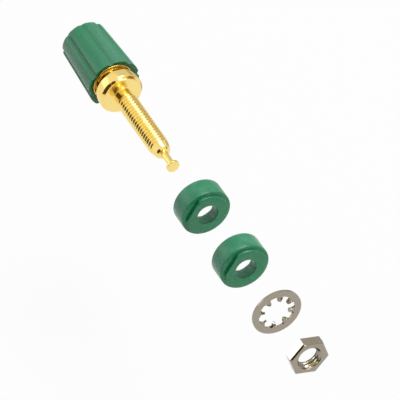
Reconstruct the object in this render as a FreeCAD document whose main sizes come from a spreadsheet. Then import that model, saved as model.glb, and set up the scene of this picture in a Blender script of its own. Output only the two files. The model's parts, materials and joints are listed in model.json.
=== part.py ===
import FreeCAD, Part
import math
import os
import re
import Sketcher
from FreeCAD import Placement, Rotation, Vector

# Panel binding post with a captive screw-down knob, two insulating bushings, a lock washer and a nut.
# Millimetres. The post's axis is Y: the knob points to -Y, the stud and its solder tip to +Y, +Z is up.
# The origin is the centre of the collar's front face, on which the front bushing seats.
# The loose pieces stand along the axis in the order in which they go on the stud.

# Driving sizes: name, value and what it measures.
SIZES = (
    ("stud_radius", 2.083, "outside of the 8-32 stud thread"),
    ("stud_length", 18.85, "collar face to the end of the stud"),
    ("neck_radius", 1.75, "plain neck between collar and thread"),
    ("neck_length", 2.05, "length of the plain neck"),
    ("nose_radius", 1.42, "flat end of the stud's rounded nose"),
    ("nose_length", 2.6, "rounded nose"),
    ("nose_crown", 0.6, "share of the nose's length up to its knee"),
    ("nose_bulge", 0.45, "share of the nose's narrowing left at its knee"),
    ("turret_reach", 4.2, "stud end to the end of the solder turret"),
    ("turret_radius", 1.33, "disc at the turret's end"),
    ("turret_disc", 0.5, "thickness of that disc"),
    ("waist_radius", 0.68, "solder waist of the turret"),
    ("collar_radius", 4.55, "collar"),
    ("collar_thickness", 2.75, "collar, front face to back face"),
    ("collar_bevel", 0.5, "bevel of the collar's front edge"),
    ("collar_break", 0.15, "broken edge at the collar's back face"),
    ("barrel_radius", 3.175, "outside of the knob's 1/4-28 thread on the barrel"),
    ("barrel_length", 14.45, "collar back face to the barrel's open end"),
    ("barrel_break", 0.35, "lead of the barrel's open end"),
    ("plug_radius", 2.05, "socket for a 4 mm plug"),
    ("plug_depth", 10.2, "parallel depth of that socket"),
    ("plug_lead", 0.35, "countersink at the socket's mouth"),
    ("drill_angle", 31.0, "slope of the drill point at the socket's floor, degrees"),
    ("wire_radius", 1.1, "cross hole for a bare wire"),
    ("wire_offset", 1.5, "collar back face to the cross hole's axis"),
    ("knob_gap", 1.45, "opening left between collar and knob"),
    ("run_gap", 0.05, "radial clearance of what turns or slides on a shaft"),
    ("mould_gap", 0.03, "clearance round the insert inside its shell"),
    ("flange_radius", 4.3, "insert's clamping flange"),
    ("flange_thickness", 0.7, "thickness of that flange"),
    ("flange_break", 0.12, "broken edge of the clamping face"),
    ("insert_radius", 3.95, "insert inside the shell"),
    ("insert_length", 9.2, "clamping face to the insert's end"),
    ("grip_depth", 0.35, "groove that locks the insert in its shell"),
    ("grip_start", 3.9, "clamping face to that groove"),
    ("grip_width", 1.6, "width of that groove"),
    ("skirt_reach", 0.35, "shell beyond the clamping face"),
    ("skirt_gap", 0.15, "radial room between the shell's skirt and the collar"),
    ("shell_length", 14.0, "rim to outer end of the shell"),
    ("rim_radius", 5.45, "shell at its rim"),
    ("crown_radius", 4.73, "shell at its outer end"),
    ("rim_break", 0.15, "broken edge at the rim"),
    ("crown_round", 0.45, "rounded edge at the outer end"),
    ("flute_radius", 0.8, "finger grooves, radius of their section"),
    ("flute_depth", 0.4, "depth of the finger grooves"),
    ("flute_count", 8, "finger grooves round the shell"),
    ("flute_turn", 7.1, "turn of the knob about the axis, degrees"),
    ("bushing_radius", 5.2, "bushing"),
    ("bushing_length", 4.15, "bushing without its boss"),
    ("bushing_break", 0.15, "broken outer edges"),
    ("boss_radius", 4.4, "boss that enters the panel's hole"),
    ("boss_height", 0.65, "boss beyond the shoulder"),
    ("boss_flat", 3.65, "axis to the boss's anti-turn flat"),
    ("recess_gap", 0.1, "radial room of the collar in the bushing's recess"),
    ("recess_depth", 2.3, "recess that covers the collar"),
    ("stud_gap", 0.117, "radial room of the stud in the bushing"),
    ("key_turn", -33.3, "turn of both bushings about the axis, degrees"),
    ("washer_radius", 5.2, "lock washer"),
    ("washer_thickness", 0.45, "sheet of the lock washer"),
    ("washer_root", 3.85, "inner edge of its band, where the teeth start"),
    ("tooth_tip", 2.6, "inner end of the teeth"),
    ("tooth_width", 1.3, "width of a tooth"),
    ("tooth_taper", 0.8, "share of that width left at the tip"),
    ("tooth_twist", 36.0, "twist of a tooth, degrees"),
    ("tooth_bend", 0.5, "share of a tooth's length over which it twists"),
    ("tooth_count", 8, "teeth"),
    ("tooth_turn", -12.6, "turn of the washer about the axis, degrees"),
    ("nut_across_flats", 7.4, "nut"),
    ("nut_thickness", 2.3, "nut"),
    ("nut_crown", 3.8, "radius at which its corners are bevelled"),
    ("nut_mouth", 2.65, "countersink at both ends of the bore"),
    ("nut_turn", -12.8, "turn of the nut about the axis, degrees"),
    ("tip_to_bushing", 10.7, "turret to the front bushing"),
    ("bushing_to_bushing", 12.4, "front bushing's boss to the rear bushing"),
    ("bushing_to_washer", 13.5, "rear bushing's boss to the washer's middle"),
    ("washer_to_nut", 12.5, "washer's middle to the nut"),
)

doc = FreeCAD.newDocument("binding_post")
sheet = doc.addObject("Spreadsheet::Sheet", "Sizes")
for row, (size, number, meaning) in enumerate(SIZES, start=1):
    sheet.set(f"A{row}", meaning)
    sheet.set(f"B{row}", str(number))
    sheet.setAlias(f"B{row}", size)
doc.recompute()

# Lengths that several pieces share, written with the names above.
POST_END = "stud_length + turret_reach"
CLAMP_FACE = "-(collar_thickness + knob_gap)"
RECESS_RADIUS = "(collar_radius + recess_gap)"
BUSHING_TOTAL = "(bushing_length + boss_height)"
FRONT_BUSHING_AT = f"{POST_END} + tip_to_bushing"
REAR_BUSHING_AT = f"{FRONT_BUSHING_AT} + {BUSHING_TOTAL} + bushing_to_bushing"
WASHER_AT = f"{REAR_BUSHING_AT} + {BUSHING_TOTAL} + bushing_to_washer"
NUT_AT = f"{WASHER_AT} + washer_to_nut"
NUT_CORNER = "(nut_across_flats / 2 / cos(30 deg))"
SHELL_TAPER = "(atan((rim_radius - crown_radius) / shell_length) / 1 deg)"


def cells(text):
    """Point each size's name in an expression at its cell of the sheet."""
    return re.sub(r"[a-z]+(?:_[a-z]+)+", lambda found: "Sizes." + found.group(0), text)


def value(text):
    """The number that an expression of sizes gives."""
    return float(sheet.evalExpression(cells(text)))


def new_piece(name, along="0", turned=None):
    """A body placed along the axis, and turned about it, by expressions of sizes."""
    body = doc.addObject("PartDesign::Body", name)
    body.Label = name
    angle = value(turned) if turned else 0.0
    body.Placement = Placement(Vector(0, value(along), 0), Rotation(Vector(0, 1, 0), angle))
    body.setExpression("Placement.Base.y", cells(along))
    if turned:
        body.setExpression("Placement.Rotation.Angle", cells(turned) + " * 1 deg")
    return body


def origin_feature(body, role):
    """The plane or axis of a body's own origin that has this role."""
    return next(item for item in body.Origin.OriginFeatures if item.Role == role)


def new_sketch(body, name, plane, lift=None, spin=None, about=Vector(0, 0, 1)):
    """An empty sketch on an origin plane, lifted off it and turned about a sketch axis by expressions."""
    sketch = body.newObject("Sketcher::SketchObject", name)
    sketch.AttachmentSupport = [(origin_feature(body, plane), "")]
    sketch.MapMode = "FlatFace"
    if spin:
        sketch.AttachmentOffset = Placement(Vector(), Rotation(about, value(spin)))
        sketch.setExpression("AttachmentOffset.Rotation.Angle", cells(spin) + " * 1 deg")
    if lift:
        sketch.setExpression("AttachmentOffset.Base.z", cells(lift))
    return sketch


def hold(sketch, kind, axis, index, point, text):
    """Fix one coordinate of a point: on the sketch's axis for 0, else at an expression."""
    if text == "0":
        sketch.addConstraint(Sketcher.Constraint("PointOnObject", index, point, axis))
        return
    place = sketch.addConstraint(Sketcher.Constraint(kind, -1, 1, index, point, value(text)))
    sketch.setExpression(f"Constraints[{place}]", cells(text))


def add_outline(sketch, corners):
    """A closed outline of straight lines through corners given as pairs of expressions."""
    places = [Vector(value(across), value(up), 0) for across, up in corners]
    count = len(corners)
    for index, place in enumerate(places):
        sketch.addGeometry(Part.LineSegment(place, places[(index + 1) % count]), False)
    for index in range(count):
        sketch.addConstraint(Sketcher.Constraint("Coincident", index, 2, (index + 1) % count, 1))
    for index, (across, up) in enumerate(corners):
        hold(sketch, "DistanceX", -2, index, 1, across)
        hold(sketch, "DistanceY", -1, index, 1, up)


def add_circle(sketch, radius, across="0", up="0"):
    """A circle by expressions of its radius and centre."""
    centre = Vector(value(across), value(up), 0)
    index = sketch.addGeometry(Part.Circle(centre, Vector(0, 0, 1), value(radius)), False)
    hold(sketch, "DistanceX", -2, index, 3, across)
    hold(sketch, "DistanceY", -1, index, 3, up)
    place = sketch.addConstraint(Sketcher.Constraint("Radius", index, value(radius)))
    sketch.setExpression(f"Constraints[{place}]", cells(radius))


def lathe(body, name, corners, cut=False):
    """Turn an outline of (radius, place along the axis) corners about the post's axis."""
    sketch = new_sketch(body, name + "_outline", "XY_Plane")
    add_outline(sketch, corners)
    doc.recompute()
    turned = body.newObject("PartDesign::Groove" if cut else "PartDesign::Revolution", name)
    turned.Profile = sketch
    turned.ReferenceAxis = (sketch, ["V_Axis"])
    turned.Angle = 360.0
    doc.recompute()
    return turned


def extrude(body, name, sketch, length, cut=False, back=False, both=False):
    """Pad or cut a sketch over a length: along its normal, against it, or to both sides."""
    doc.recompute()
    feature = body.newObject("PartDesign::Pocket" if cut else "PartDesign::Pad", name)
    feature.Profile = sketch
    feature.setExpression("Length", cells(length))
    feature.Midplane = both
    feature.Reversed = back
    doc.recompute()
    return feature


def pattern(body, name, features, count):
    """Repeat features evenly round the post's axis."""
    ring = body.newObject("PartDesign::PolarPattern", name)
    ring.Originals = features
    ring.Axis = (origin_feature(body, "Y_Axis"), [""])
    ring.Angle = 360.0
    ring.setExpression("Occurrences", cells(count))
    body.Tip = ring
    doc.recompute()
    return ring


def round_edge(body, name, feature, radius, edge_radius, along):
    """Round a feature's circular edge of this radius at this place along the axis."""
    wanted = (value(edge_radius), value(along))
    names = []
    for number, edge in enumerate(feature.Shape.Edges, start=1):
        curve = edge.Curve
        if isinstance(curve, Part.Circle) and math.dist((curve.Radius, curve.Center.y), wanted) < 1e-4:
            names.append(f"Edge{number}")
    rounded = body.newObject("PartDesign::Fillet", name)
    rounded.Base = (feature, names)
    rounded.setExpression("Radius", cells(radius))
    doc.recompute()
    return rounded


def make_post():
    """The turned post: solder turret, threaded stud, collar and the barrel that takes plug and wire."""
    body = new_piece("post")
    disc_back = f"{POST_END} - turret_disc"
    straight_end = "stud_length - nose_length"
    knee_radius = "nose_radius + (stud_radius - nose_radius) * nose_bulge"
    knee = f"{straight_end} + nose_length * nose_crown"
    barrel_end = "-(collar_thickness + barrel_length)"
    socket_floor = f"{barrel_end} + plug_depth"
    lathe(body, "post_turning", (
        ("0", POST_END),
        ("turret_radius", POST_END),
        ("turret_radius", disc_back),
        ("waist_radius", disc_back),
        ("waist_radius", "stud_length"),
        ("nose_radius", "stud_length"),
        (knee_radius, knee),
        ("stud_radius", straight_end),
        ("stud_radius", "neck_length"),
        ("neck_radius", "neck_length"),
        ("neck_radius", "0"),
        ("collar_radius - collar_bevel", "0"),
        ("collar_radius", "-collar_bevel"),
        ("collar_radius", "-(collar_thickness - collar_break)"),
        ("collar_radius - collar_break", "-collar_thickness"),
        ("barrel_radius", "-collar_thickness"),
        ("barrel_radius", f"{barrel_end} + barrel_break"),
        ("barrel_radius - barrel_break", barrel_end),
        ("plug_radius + plug_lead", barrel_end),
        ("plug_radius", f"{barrel_end} + plug_lead"),
        ("plug_radius", socket_floor),
        ("0", f"{socket_floor} + plug_radius * tan(drill_angle * 1 deg)"),
    ))
    wire = new_sketch(body, "wire_hole_circle", "YZ_Plane")
    add_circle(wire, "wire_radius", across="-(collar_thickness + wire_offset)")
    extrude(body, "wire_hole", wire, "barrel_radius * 4", cut=True, both=True)
    return body


def make_knob_insert():
    """The threaded brass insert that the knob clamps with."""
    body = new_piece("knob_insert", along=CLAMP_FACE)
    bore = "barrel_radius + run_gap"
    groove = "insert_radius - grip_depth"
    groove_end = "-(grip_start + grip_width)"
    lathe(body, "insert_turning", (
        (bore, "0"),
        ("flange_radius - flange_break", "0"),
        ("flange_radius", "-flange_break"),
        ("flange_radius", "-flange_thickness"),
        ("insert_radius", "-flange_thickness"),
        ("insert_radius", "-grip_start"),
        (groove, "-grip_start"),
        (groove, groove_end),
        ("insert_radius", groove_end),
        ("insert_radius", "-insert_length"),
        (bore, "-insert_length"),
    ))
    return body


def make_knob_shell():
    """The moulded grip: a tapered shell round the insert, with finger grooves that follow the taper."""
    body = new_piece("knob_shell", along=CLAMP_FACE, turned="flute_turn")
    skirt = "collar_radius + skirt_gap"
    crown_end = "-(shell_length - skirt_reach)"
    pocket = "insert_radius + mould_gap"
    rib = "insert_radius - grip_depth + mould_gap"
    rib_front = "-(grip_start + mould_gap)"
    rib_back = "-(grip_start + grip_width - mould_gap)"
    pocket_end = "-(insert_length + mould_gap)"
    passage = "barrel_radius + run_gap + mould_gap"
    turned = lathe(body, "shell_turning", (
        (skirt, "skirt_reach"),
        ("rim_radius - rim_break", "skirt_reach"),
        ("rim_radius", "skirt_reach - rim_break"),
        ("crown_radius", crown_end),
        (passage, crown_end),
        (passage, pocket_end),
        (pocket, pocket_end),
        (pocket, rib_back),
        (rib, rib_back),
        (rib, rib_front),
        (pocket, rib_front),
        (pocket, "-(flange_thickness + mould_gap)"),
        ("flange_radius + mould_gap", "-(flange_thickness + mould_gap)"),
        ("flange_radius + mould_gap", "0"),
        (skirt, "0"),
    ))
    round_edge(body, "crown_rounding", turned, "crown_round", "crown_radius", crown_end)
    # A groove is a round cut whose axis leans with the taper, so its depth stays the same from end to end.
    lean = new_sketch(body, "groove_circle", "XZ_Plane", lift="-skirt_reach",
                      spin=f"-{SHELL_TAPER}", about=Vector(0, 1, 0))
    axis_at = f"rim_radius * cos({SHELL_TAPER} * 1 deg) + flute_radius - flute_depth"
    add_circle(lean, "flute_radius", across=axis_at)
    groove = extrude(body, "finger_groove", lean, "shell_length * 3", cut=True, both=True)
    pattern(body, "finger_grooves", [groove], "flute_count")
    return body


def make_bushing(name, along):
    """An insulating bushing: the collar sits in its recess, its flatted boss keys in the panel."""
    body = new_piece(name, along=along, turned="key_turn")
    bore = "stud_radius + stud_gap"
    lathe(body, name + "_turning", (
        (bore, BUSHING_TOTAL),
        ("boss_radius", BUSHING_TOTAL),
        ("boss_radius", "bushing_length"),
        ("bushing_radius - bushing_break", "bushing_length"),
        ("bushing_radius", "bushing_length - bushing_break"),
        ("bushing_radius", "bushing_break"),
        ("bushing_radius - bushing_break", "0"),
        (RECESS_RADIUS, "0"),
        (RECESS_RADIUS, "recess_depth"),
        (bore, "recess_depth"),
    ))
    beyond = "boss_radius * 2"
    flat = new_sketch(body, name + "_flat_outline", "XZ_Plane", lift="-bushing_length")
    add_outline(flat, (
        ("boss_flat", f"-({beyond})"),
        (beyond, f"-({beyond})"),
        (beyond, beyond),
        ("boss_flat", beyond),
    ))
    extrude(body, name + "_flat", flat, "boss_height * 2", cut=True)
    return body


def make_lock_washer():
    """The internal-tooth washer: its teeth start flat in the band, twist, then run straight to the tip."""
    body = new_piece("lock_washer", along=WASHER_AT, turned="tooth_turn")
    half = "washer_thickness / 2"
    lathe(body, "band", (
        ("washer_root", f"-({half})"),
        ("washer_radius", f"-({half})"),
        ("washer_radius", half),
        ("washer_root", half),
    ))
    # Each tooth is lofted from a flat section inside the band through a turned one to the tip.
    overlap = "(washer_radius - washer_root) / 4"
    bend_end = "washer_root - (washer_root - tooth_tip) * tooth_bend"
    bend_taper = "(1 - (1 - tooth_taper) * tooth_bend)"

    def section(name, lift, width, spin=None):
        sketch = new_sketch(body, name, "YZ_Plane", lift=lift, spin=spin)
        add_outline(sketch, (
            (f"-({half})", f"-({width})"),
            (half, f"-({width})"),
            (half, width),
            (f"-({half})", width),
        ))
        return sketch

    root_width = "tooth_width / 2"
    root = section("tooth_root", "washer_root - washer_thickness / 2", root_width)
    stub = extrude(body, "tooth_stub", root, f"{overlap} + {half}")
    blade_root = section("blade_root", "washer_root - washer_thickness / 2", root_width)
    blade_bend = section("blade_bend", bend_end, f"{root_width} * {bend_taper}", spin="-tooth_twist")
    blade_tip = section("blade_tip", "tooth_tip", f"{root_width} * tooth_taper", spin="-tooth_twist")
    doc.recompute()
    blade = body.newObject("PartDesign::AdditiveLoft", "tooth_blade")
    blade.Profile = blade_root
    blade.Sections = [blade_bend, blade_tip]
    blade.Ruled = True
    doc.recompute()
    pattern(body, "teeth", [stub, blade], "tooth_count")
    return body


def make_hex_nut():
    """The nut: a hexagon with bevelled corners, its bore countersunk from both ends."""
    body = new_piece("hex_nut", along=NUT_AT, turned="nut_turn")
    hexagon = new_sketch(body, "hexagon", "XZ_Plane")
    add_outline(hexagon, [
        (f"{NUT_CORNER} * cos({60 * step} deg)", f"{NUT_CORNER} * sin({60 * step} deg)" if step % 3 else "0")
        for step in range(6)
    ])
    extrude(body, "nut_blank", hexagon, "nut_thickness", back=True)
    rise = f"({NUT_CORNER} * 2 - nut_crown) * tan(30 deg)"
    lathe(body, "front_bevel", (
        ("nut_crown", "nut_thickness"),
        (f"{NUT_CORNER} * 2", "nut_thickness"),
        (f"{NUT_CORNER} * 2", f"nut_thickness - {rise}"),
    ), cut=True)
    lathe(body, "back_bevel", (
        ("nut_crown", "0"),
        (f"{NUT_CORNER} * 2", "0"),
        (f"{NUT_CORNER} * 2", rise),
    ), cut=True)
    bore = "stud_radius + run_gap"
    sink = "(nut_mouth - stud_radius - run_gap)"
    lathe(body, "nut_bore", (
        ("0", "0"),
        ("nut_mouth", "0"),
        (bore, sink),
        (bore, f"nut_thickness - {sink}"),
        ("nut_mouth", "nut_thickness"),
        ("0", "nut_thickness"),
    ), cut=True)
    return body


pieces = [
    make_post(),
    make_knob_insert(),
    make_knob_shell(),
    make_bushing("front_bushing", FRONT_BUSHING_AT),
    make_bushing("rear_bushing", REAR_BUSHING_AT),
    make_lock_washer(),
    make_hex_nut(),
]
doc.recompute()

# Nothing is written unless every feature was made and every piece is one sound solid.
for item in doc.Objects:
    if "Invalid" in item.State or "Error" in item.State:
        raise RuntimeError(f"{item.Label} failed: {item.State}")
for piece in pieces:
    shape = piece.Shape
    if shape.isNull() or not shape.isValid() or len(shape.Solids) != 1:
        raise RuntimeError(f"{piece.Label} is not one sound solid")

os.makedirs("parts", exist_ok=True)
for piece in pieces:
    piece.Shape.exportStep(os.path.join("parts", piece.Label + ".step"))
    box = piece.Shape.BoundBox
    print(
        f"{piece.Label}: volume {piece.Shape.Volume:.2f} mm3, "
        f"x {box.XMin:.2f} {box.XMax:.2f}, y {box.YMin:.2f} {box.YMax:.2f}, z {box.ZMin:.2f} {box.ZMax:.2f}"
    )
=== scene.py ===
import json
import math
from functools import partialmethod

import bmesh
import bpy
from bpy.props import FloatProperty, FloatVectorProperty, IntProperty, PointerProperty
from mathutils import Matrix, Vector


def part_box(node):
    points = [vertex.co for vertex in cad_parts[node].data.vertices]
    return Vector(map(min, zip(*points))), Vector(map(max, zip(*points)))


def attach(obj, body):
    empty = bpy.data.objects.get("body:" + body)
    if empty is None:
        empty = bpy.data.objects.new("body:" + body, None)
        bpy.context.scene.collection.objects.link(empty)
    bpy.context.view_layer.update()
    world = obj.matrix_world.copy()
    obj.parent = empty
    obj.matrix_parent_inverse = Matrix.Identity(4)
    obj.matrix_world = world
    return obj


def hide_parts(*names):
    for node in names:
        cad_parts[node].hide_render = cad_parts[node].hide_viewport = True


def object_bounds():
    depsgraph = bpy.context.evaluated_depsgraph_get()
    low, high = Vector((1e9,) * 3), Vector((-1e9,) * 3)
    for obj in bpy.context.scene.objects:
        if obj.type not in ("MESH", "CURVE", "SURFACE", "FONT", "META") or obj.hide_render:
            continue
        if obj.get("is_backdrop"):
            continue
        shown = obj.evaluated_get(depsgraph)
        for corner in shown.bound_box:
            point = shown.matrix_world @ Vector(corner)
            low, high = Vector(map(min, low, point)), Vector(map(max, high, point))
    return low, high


bl_info = {
    "name": "Binding Post Set",
    "version": (1, 0, 0),
    "blender": (4, 5, 0),
    "location": "3D View > Sidebar > Binding Post",
    "description": "Dresses a binding post, its bushings, lock washer and nut for a product picture",
    "category": "Object",
}

# The post's axis is Y: the knob points to -Y, the stud and its solder turret to +Y, and +Z is up.
# An angle about the axis starts at +Z and grows towards +X.
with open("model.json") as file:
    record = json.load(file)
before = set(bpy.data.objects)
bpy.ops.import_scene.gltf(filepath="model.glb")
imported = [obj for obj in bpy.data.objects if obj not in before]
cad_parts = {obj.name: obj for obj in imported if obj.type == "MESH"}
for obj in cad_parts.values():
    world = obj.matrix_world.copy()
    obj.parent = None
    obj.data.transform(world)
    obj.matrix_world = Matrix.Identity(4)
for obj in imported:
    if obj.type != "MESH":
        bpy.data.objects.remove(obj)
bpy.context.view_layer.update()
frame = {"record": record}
MOUNTS = {mount["name"]: mount for mount in frame["record"]["mounts"]}
MM = 0.001
# Places nearer to each other than this count as one.
SMALL = 0.001 * MM
# The photo's side in pixels, and how many of them one millimetre takes up.
PICTURE_SIDE, PIXELS_A_MM = 400, 5.11
# A thread's wave is crest up to the first share of its height and root beyond the second.
CREST_SHARE, ROOT_SHARE = 0.24, 0.84
# Points further out than this many times a thread's radius aren't part of its surface.
THREAD_REACH = 1.3
# Rows of points to one turn of the stud's thread, and of the barrel's.
FINE_ROWS, COARSE_ROWS = 20, 10
# A rounding takes up at most this share of the lines that it joins.
ROUNDING_SHARE = 0.45
# The face attribute that marks flat faces towards +Y, and how nearly they point that way. Some finishes paint
# shade or light on these faces through it.
FLAT_FACE, FLAT_LIMIT = "flat_face", 0.98
# The span that holds nearly all values of a noise.
NOISE_SPAN = (0.3, 0.7)
# Tints of the surroundings and of what shiny surfaces mirror.
WHITE, WARM = (1, 1, 1), (1, 0.55, 0.16)


def mount_radius(name):
    """The radius of a round mount of the frame."""
    return MOUNTS[name]["dims"]["r_mm"] * MM


def mount_ends(name):
    """Where a round mount on the post's axis starts and ends along it."""
    middle = MOUNTS[name]["pos_m"][1]
    half = MOUNTS[name]["dims"]["length_mm"] * MM / 2
    return middle - half, middle + half


def node_ends(node):
    """Where a CAD node starts and ends along the post's axis."""
    low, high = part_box(node)
    return low.y, high.y


def length(name, description, millimetres):
    """A size that a user can change. Blender keeps it in metres."""
    default = millimetres * MM
    return FloatProperty(name=name, description=description, default=default, unit="LENGTH", precision=6)


def turn(name, description, degrees):
    """An angle that a user can change."""
    return FloatProperty(name=name, description=description, default=math.radians(degrees), subtype="ANGLE")


def share(name, description, default):
    """A number from 0 to 1 that a user can change."""
    return FloatProperty(name=name, description=description, default=default, min=0, max=1, subtype="FACTOR")


def power(name, description, default):
    """A lamp's power that a user can change."""
    return FloatProperty(name=name, description=description, default=default, unit="POWER")


def count(name, description, default):
    """How many of something there are."""
    return IntProperty(name=name, description=description, default=default, min=1)


def colour(name, description, default):
    """A linear colour that a user can change."""
    return FloatVectorProperty(
        name=name, description=description, default=default, size=3, min=0, max=1, subtype="COLOR"
    )


class PostSizes(bpy.types.PropertyGroup):
    """Sizes of the plated post that the frame doesn't state."""

    neck_radius: length("Neck radius", "Plain neck between collar and thread", 1.75)
    nose_radius: length("Nose radius", "Flat end of the stud's rounded nose", 1.42)
    nose_length: length("Nose length", "Rounded nose of the stud", 2.6)
    nose_bevel: length("Nose bevel", "Bevel round the nose's flat end", 0.45)
    knee_out: share("Knee radius", "Knee of the nose, as a share of the way out from its flat end", 0.45)
    knee_along: share("Knee place", "Knee of the nose, as a share of the nose's length", 0.6)
    marked_nose: share("Marked nose", "Share of the nose's length that the thread runs on to", 0.42)
    turret_disc: length("Turret disc", "Thickness of the disc at the turret's end", 0.5)
    turret_radius: length("Turret radius", "Disc at the turret's end", 1.33)
    collar_bevel: length("Collar bevel", "Bevel of the collar's front edge", 0.56)
    edge: length("Broken edge", "Small bevels of the turned edges", 0.15)
    mouth: length("Mouth", "Lead at the open end of the barrel and its socket", 0.35)
    drill_slope: turn("Drill slope", "Slope of the socket's floor", 31)
    stud_pitch: length("Stud pitch", "Advance of the stud's thread in one turn", 25.4 / 32)
    stud_depth: length("Stud depth", "Depth of the stud's thread", 0.35)
    barrel_pitch: length("Barrel pitch", "Advance of the knob's thread in one turn", 25.4 / 28)
    barrel_depth: length("Barrel depth", "Depth of the knob's thread", 0.45)
    relief: length("Relief", "Plain length of the barrel behind the collar", 1.3)


class KnobSizes(bpy.types.PropertyGroup):
    """Sizes of the moulded grip and its threaded insert."""

    rim_radius: length("Rim radius", "Grip at its rim", 5.45)
    crown_radius: length("Crown radius", "Grip at its outer end", 4.73)
    crown_round: length("Crown round", "Rounded edge at the outer end", 0.45)
    groove_radius: length("Groove radius", "Section of a finger groove", 0.8)
    groove_depth: length("Groove depth", "Depth of a finger groove", 0.4)
    groove_lip: length("Groove lip", "Softness of a finger groove's lips", 0.07)
    grooves: count("Grooves", "Finger grooves round the grip", 8)
    groove_turn: turn("Groove turn", "Where the first finger groove lies about the axis", 7.1)
    skirt_gap: length("Skirt gap", "Room between the grip's skirt and the collar", 0.15)
    flange: length("Flange", "Thickness of the insert's clamping flange", 0.7)
    insert_radius: length("Insert radius", "Insert inside the grip", 3.95)
    lock_depth: length("Lock depth", "Groove that locks the insert in the grip", 0.35)
    lock_start: length("Lock start", "Clamping face to that groove", 3.9)
    lock_width: length("Lock width", "Width of that groove", 1.6)
    gap: length("Gap", "Room between moulding, insert and barrel", 0.05)
    thread_depth: length("Thread depth", "Depth of the thread in the insert", 0.3)


class BushingSizes(bpy.types.PropertyGroup):
    """Sizes of the two insulating bushings."""

    flat: length("Flat", "Axis to the flat of the boss", 3.65)
    flat_turn: turn("Flat turn", "Where the flat lies about the axis", 56.7)
    bore_radius: length("Bore radius", "Hole for the stud", 2.2)
    recess_depth: length("Recess depth", "Recess that covers the collar", 2.3)
    recess_gap: length("Recess gap", "Room between collar and recess", 0.1)
    edge: length("Broken edge", "Soft outer edges", 0.15)


class WasherSizes(bpy.types.PropertyGroup):
    """Sizes of the lock washer."""

    thickness: length("Thickness", "Sheet that the washer is punched from", 0.45)
    root_radius: length("Root radius", "Inner edge of the band", 3.85)
    tip_radius: length("Tip radius", "Inner end of the teeth", 2.6)
    tooth_width: length("Tooth width", "Width of a tooth", 1.14)
    taper: share("Taper", "Share of that width lost at the tip", 0.2)
    root_round: length("Root round", "Widening at the root of a tooth", 0.3)
    tip_round: length("Tip round", "Rounding of a tooth's tip", 0.25)
    teeth: count("Teeth", "Teeth round the washer", 8)
    twist: turn("Twist", "Twist of a tooth", -42)
    bend: share("Bend", "Share of a tooth's length over which it twists", 0.5)
    edge: length("Broken edge", "Small bevels left by the punch and the tumbling", 0.12)
    turned: turn("Turn", "Where the first tooth lies about the axis", 32.4)


class NutSizes(bpy.types.PropertyGroup):
    """Sizes of the hex nut."""

    flat: length("Flat", "Axis to a flat", 3.7)
    crown: length("Crown", "Radius at which the corners are bevelled", 3.8)
    edge: length("Edge", "Bevel along the edges of the flats", 0.3)
    mouth: length("Mouth", "Countersink at both ends of the bore", 2.65)
    bore_radius: length("Bore radius", "Crests of the thread in the bore", 2.133)
    thread_depth: length("Thread depth", "Depth of the thread in the bore", 0.36)
    turned: turn("Turn", "Where the first flat lies about the axis", 47.2)


class Finishes(bpy.types.PropertyGroup):
    """Colours of the platings and the mouldings."""

    gold: colour("Gold", "Plating of the post and the insert", (0.95, 0.73, 0.26))
    gold_shade: colour("Gold shade", "Deeper tone in the plating's grain", (0.92, 0.65, 0.17))
    # Painted shade: a darker, redder gold on the insert's clamping face, for the shade in the gap between
    # grip and collar.
    clamp_face: colour("Clamping face", "Duller plating of the insert's clamping face", (0.9, 0.62, 0.18))
    green: colour("Green", "Moulded grip and bushings", (0.008, 0.245, 0.098))
    green_light: colour("Light green", "Paler flow marks in the bushings", (0.035, 0.3, 0.155))
    # Painted sheen: paler grey-green streaks drawn along the grip, standing in for the sheen on its lobes.
    green_worn: colour("Worn green", "Paler streaks along the grip", (0.07, 0.27, 0.165))
    # Painted shade: a darker, deeper green on the grip's front rim, which faces the collar and lies in its
    # shade.
    green_rim: colour("Rim", "Front rim of the grip", (0.002, 0.15, 0.045))
    # Painted light: a paler green on the bushings' flat faces towards +Y, which the lamps light less than
    # their sides.
    green_face: colour("Boss face", "Flat faces of the bushings", (0.012, 0.285, 0.115))
    nickel: colour("Nickel", "Plating of washer and nut", (0.36, 0.32, 0.26))
    nickel_shade: colour("Nickel shade", "Deeper tone in the nickel's grain", (0.27, 0.235, 0.18))


class StageSizes(bpy.types.PropertyGroup):
    """Camera, lamps and floor."""

    azimuth: turn("Azimuth", "Camera's turn about the vertical", 154.4)
    elevation: turn("Elevation", "Camera's height above the horizon", 42.3)
    distance: length("Distance", "Camera to the middle of the picture", 3500)
    width: length("Picture width", "What the picture spans at that distance", PICTURE_SIDE / PIXELS_A_MM)
    floor_drop: length("Floor drop", "Lowest point of the set to the floor", 45)
    floor_side: length("Floor side", "Side of the square floor", 400)
    floor_tone: share("Floor tone", "Share of the light that the floor throws back", 0.9)
    floor_white: share("Floor white", "Share of plain white in what is seen of the floor", 0.93)
    ambient: share("Ambient", "Strength of the light from all around", 0.37)
    top_power: power("Top power", "Lamp overhead", 1.5)
    front_power: power("Front power", "Lamp at the tip's side", 0.33)
    lamp_distance: length("Lamp distance", "Lamps to the spot that they point at", 500)


class BindingPostSettings(bpy.types.PropertyGroup):
    """Everything about the set that a user can change."""

    post: PointerProperty(type=PostSizes)
    knob: PointerProperty(type=KnobSizes)
    bushing: PointerProperty(type=BushingSizes)
    washer: PointerProperty(type=WasherSizes)
    nut: PointerProperty(type=NutSizes)
    finish: PointerProperty(type=Finishes)
    stage: PointerProperty(type=StageSizes)


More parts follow.
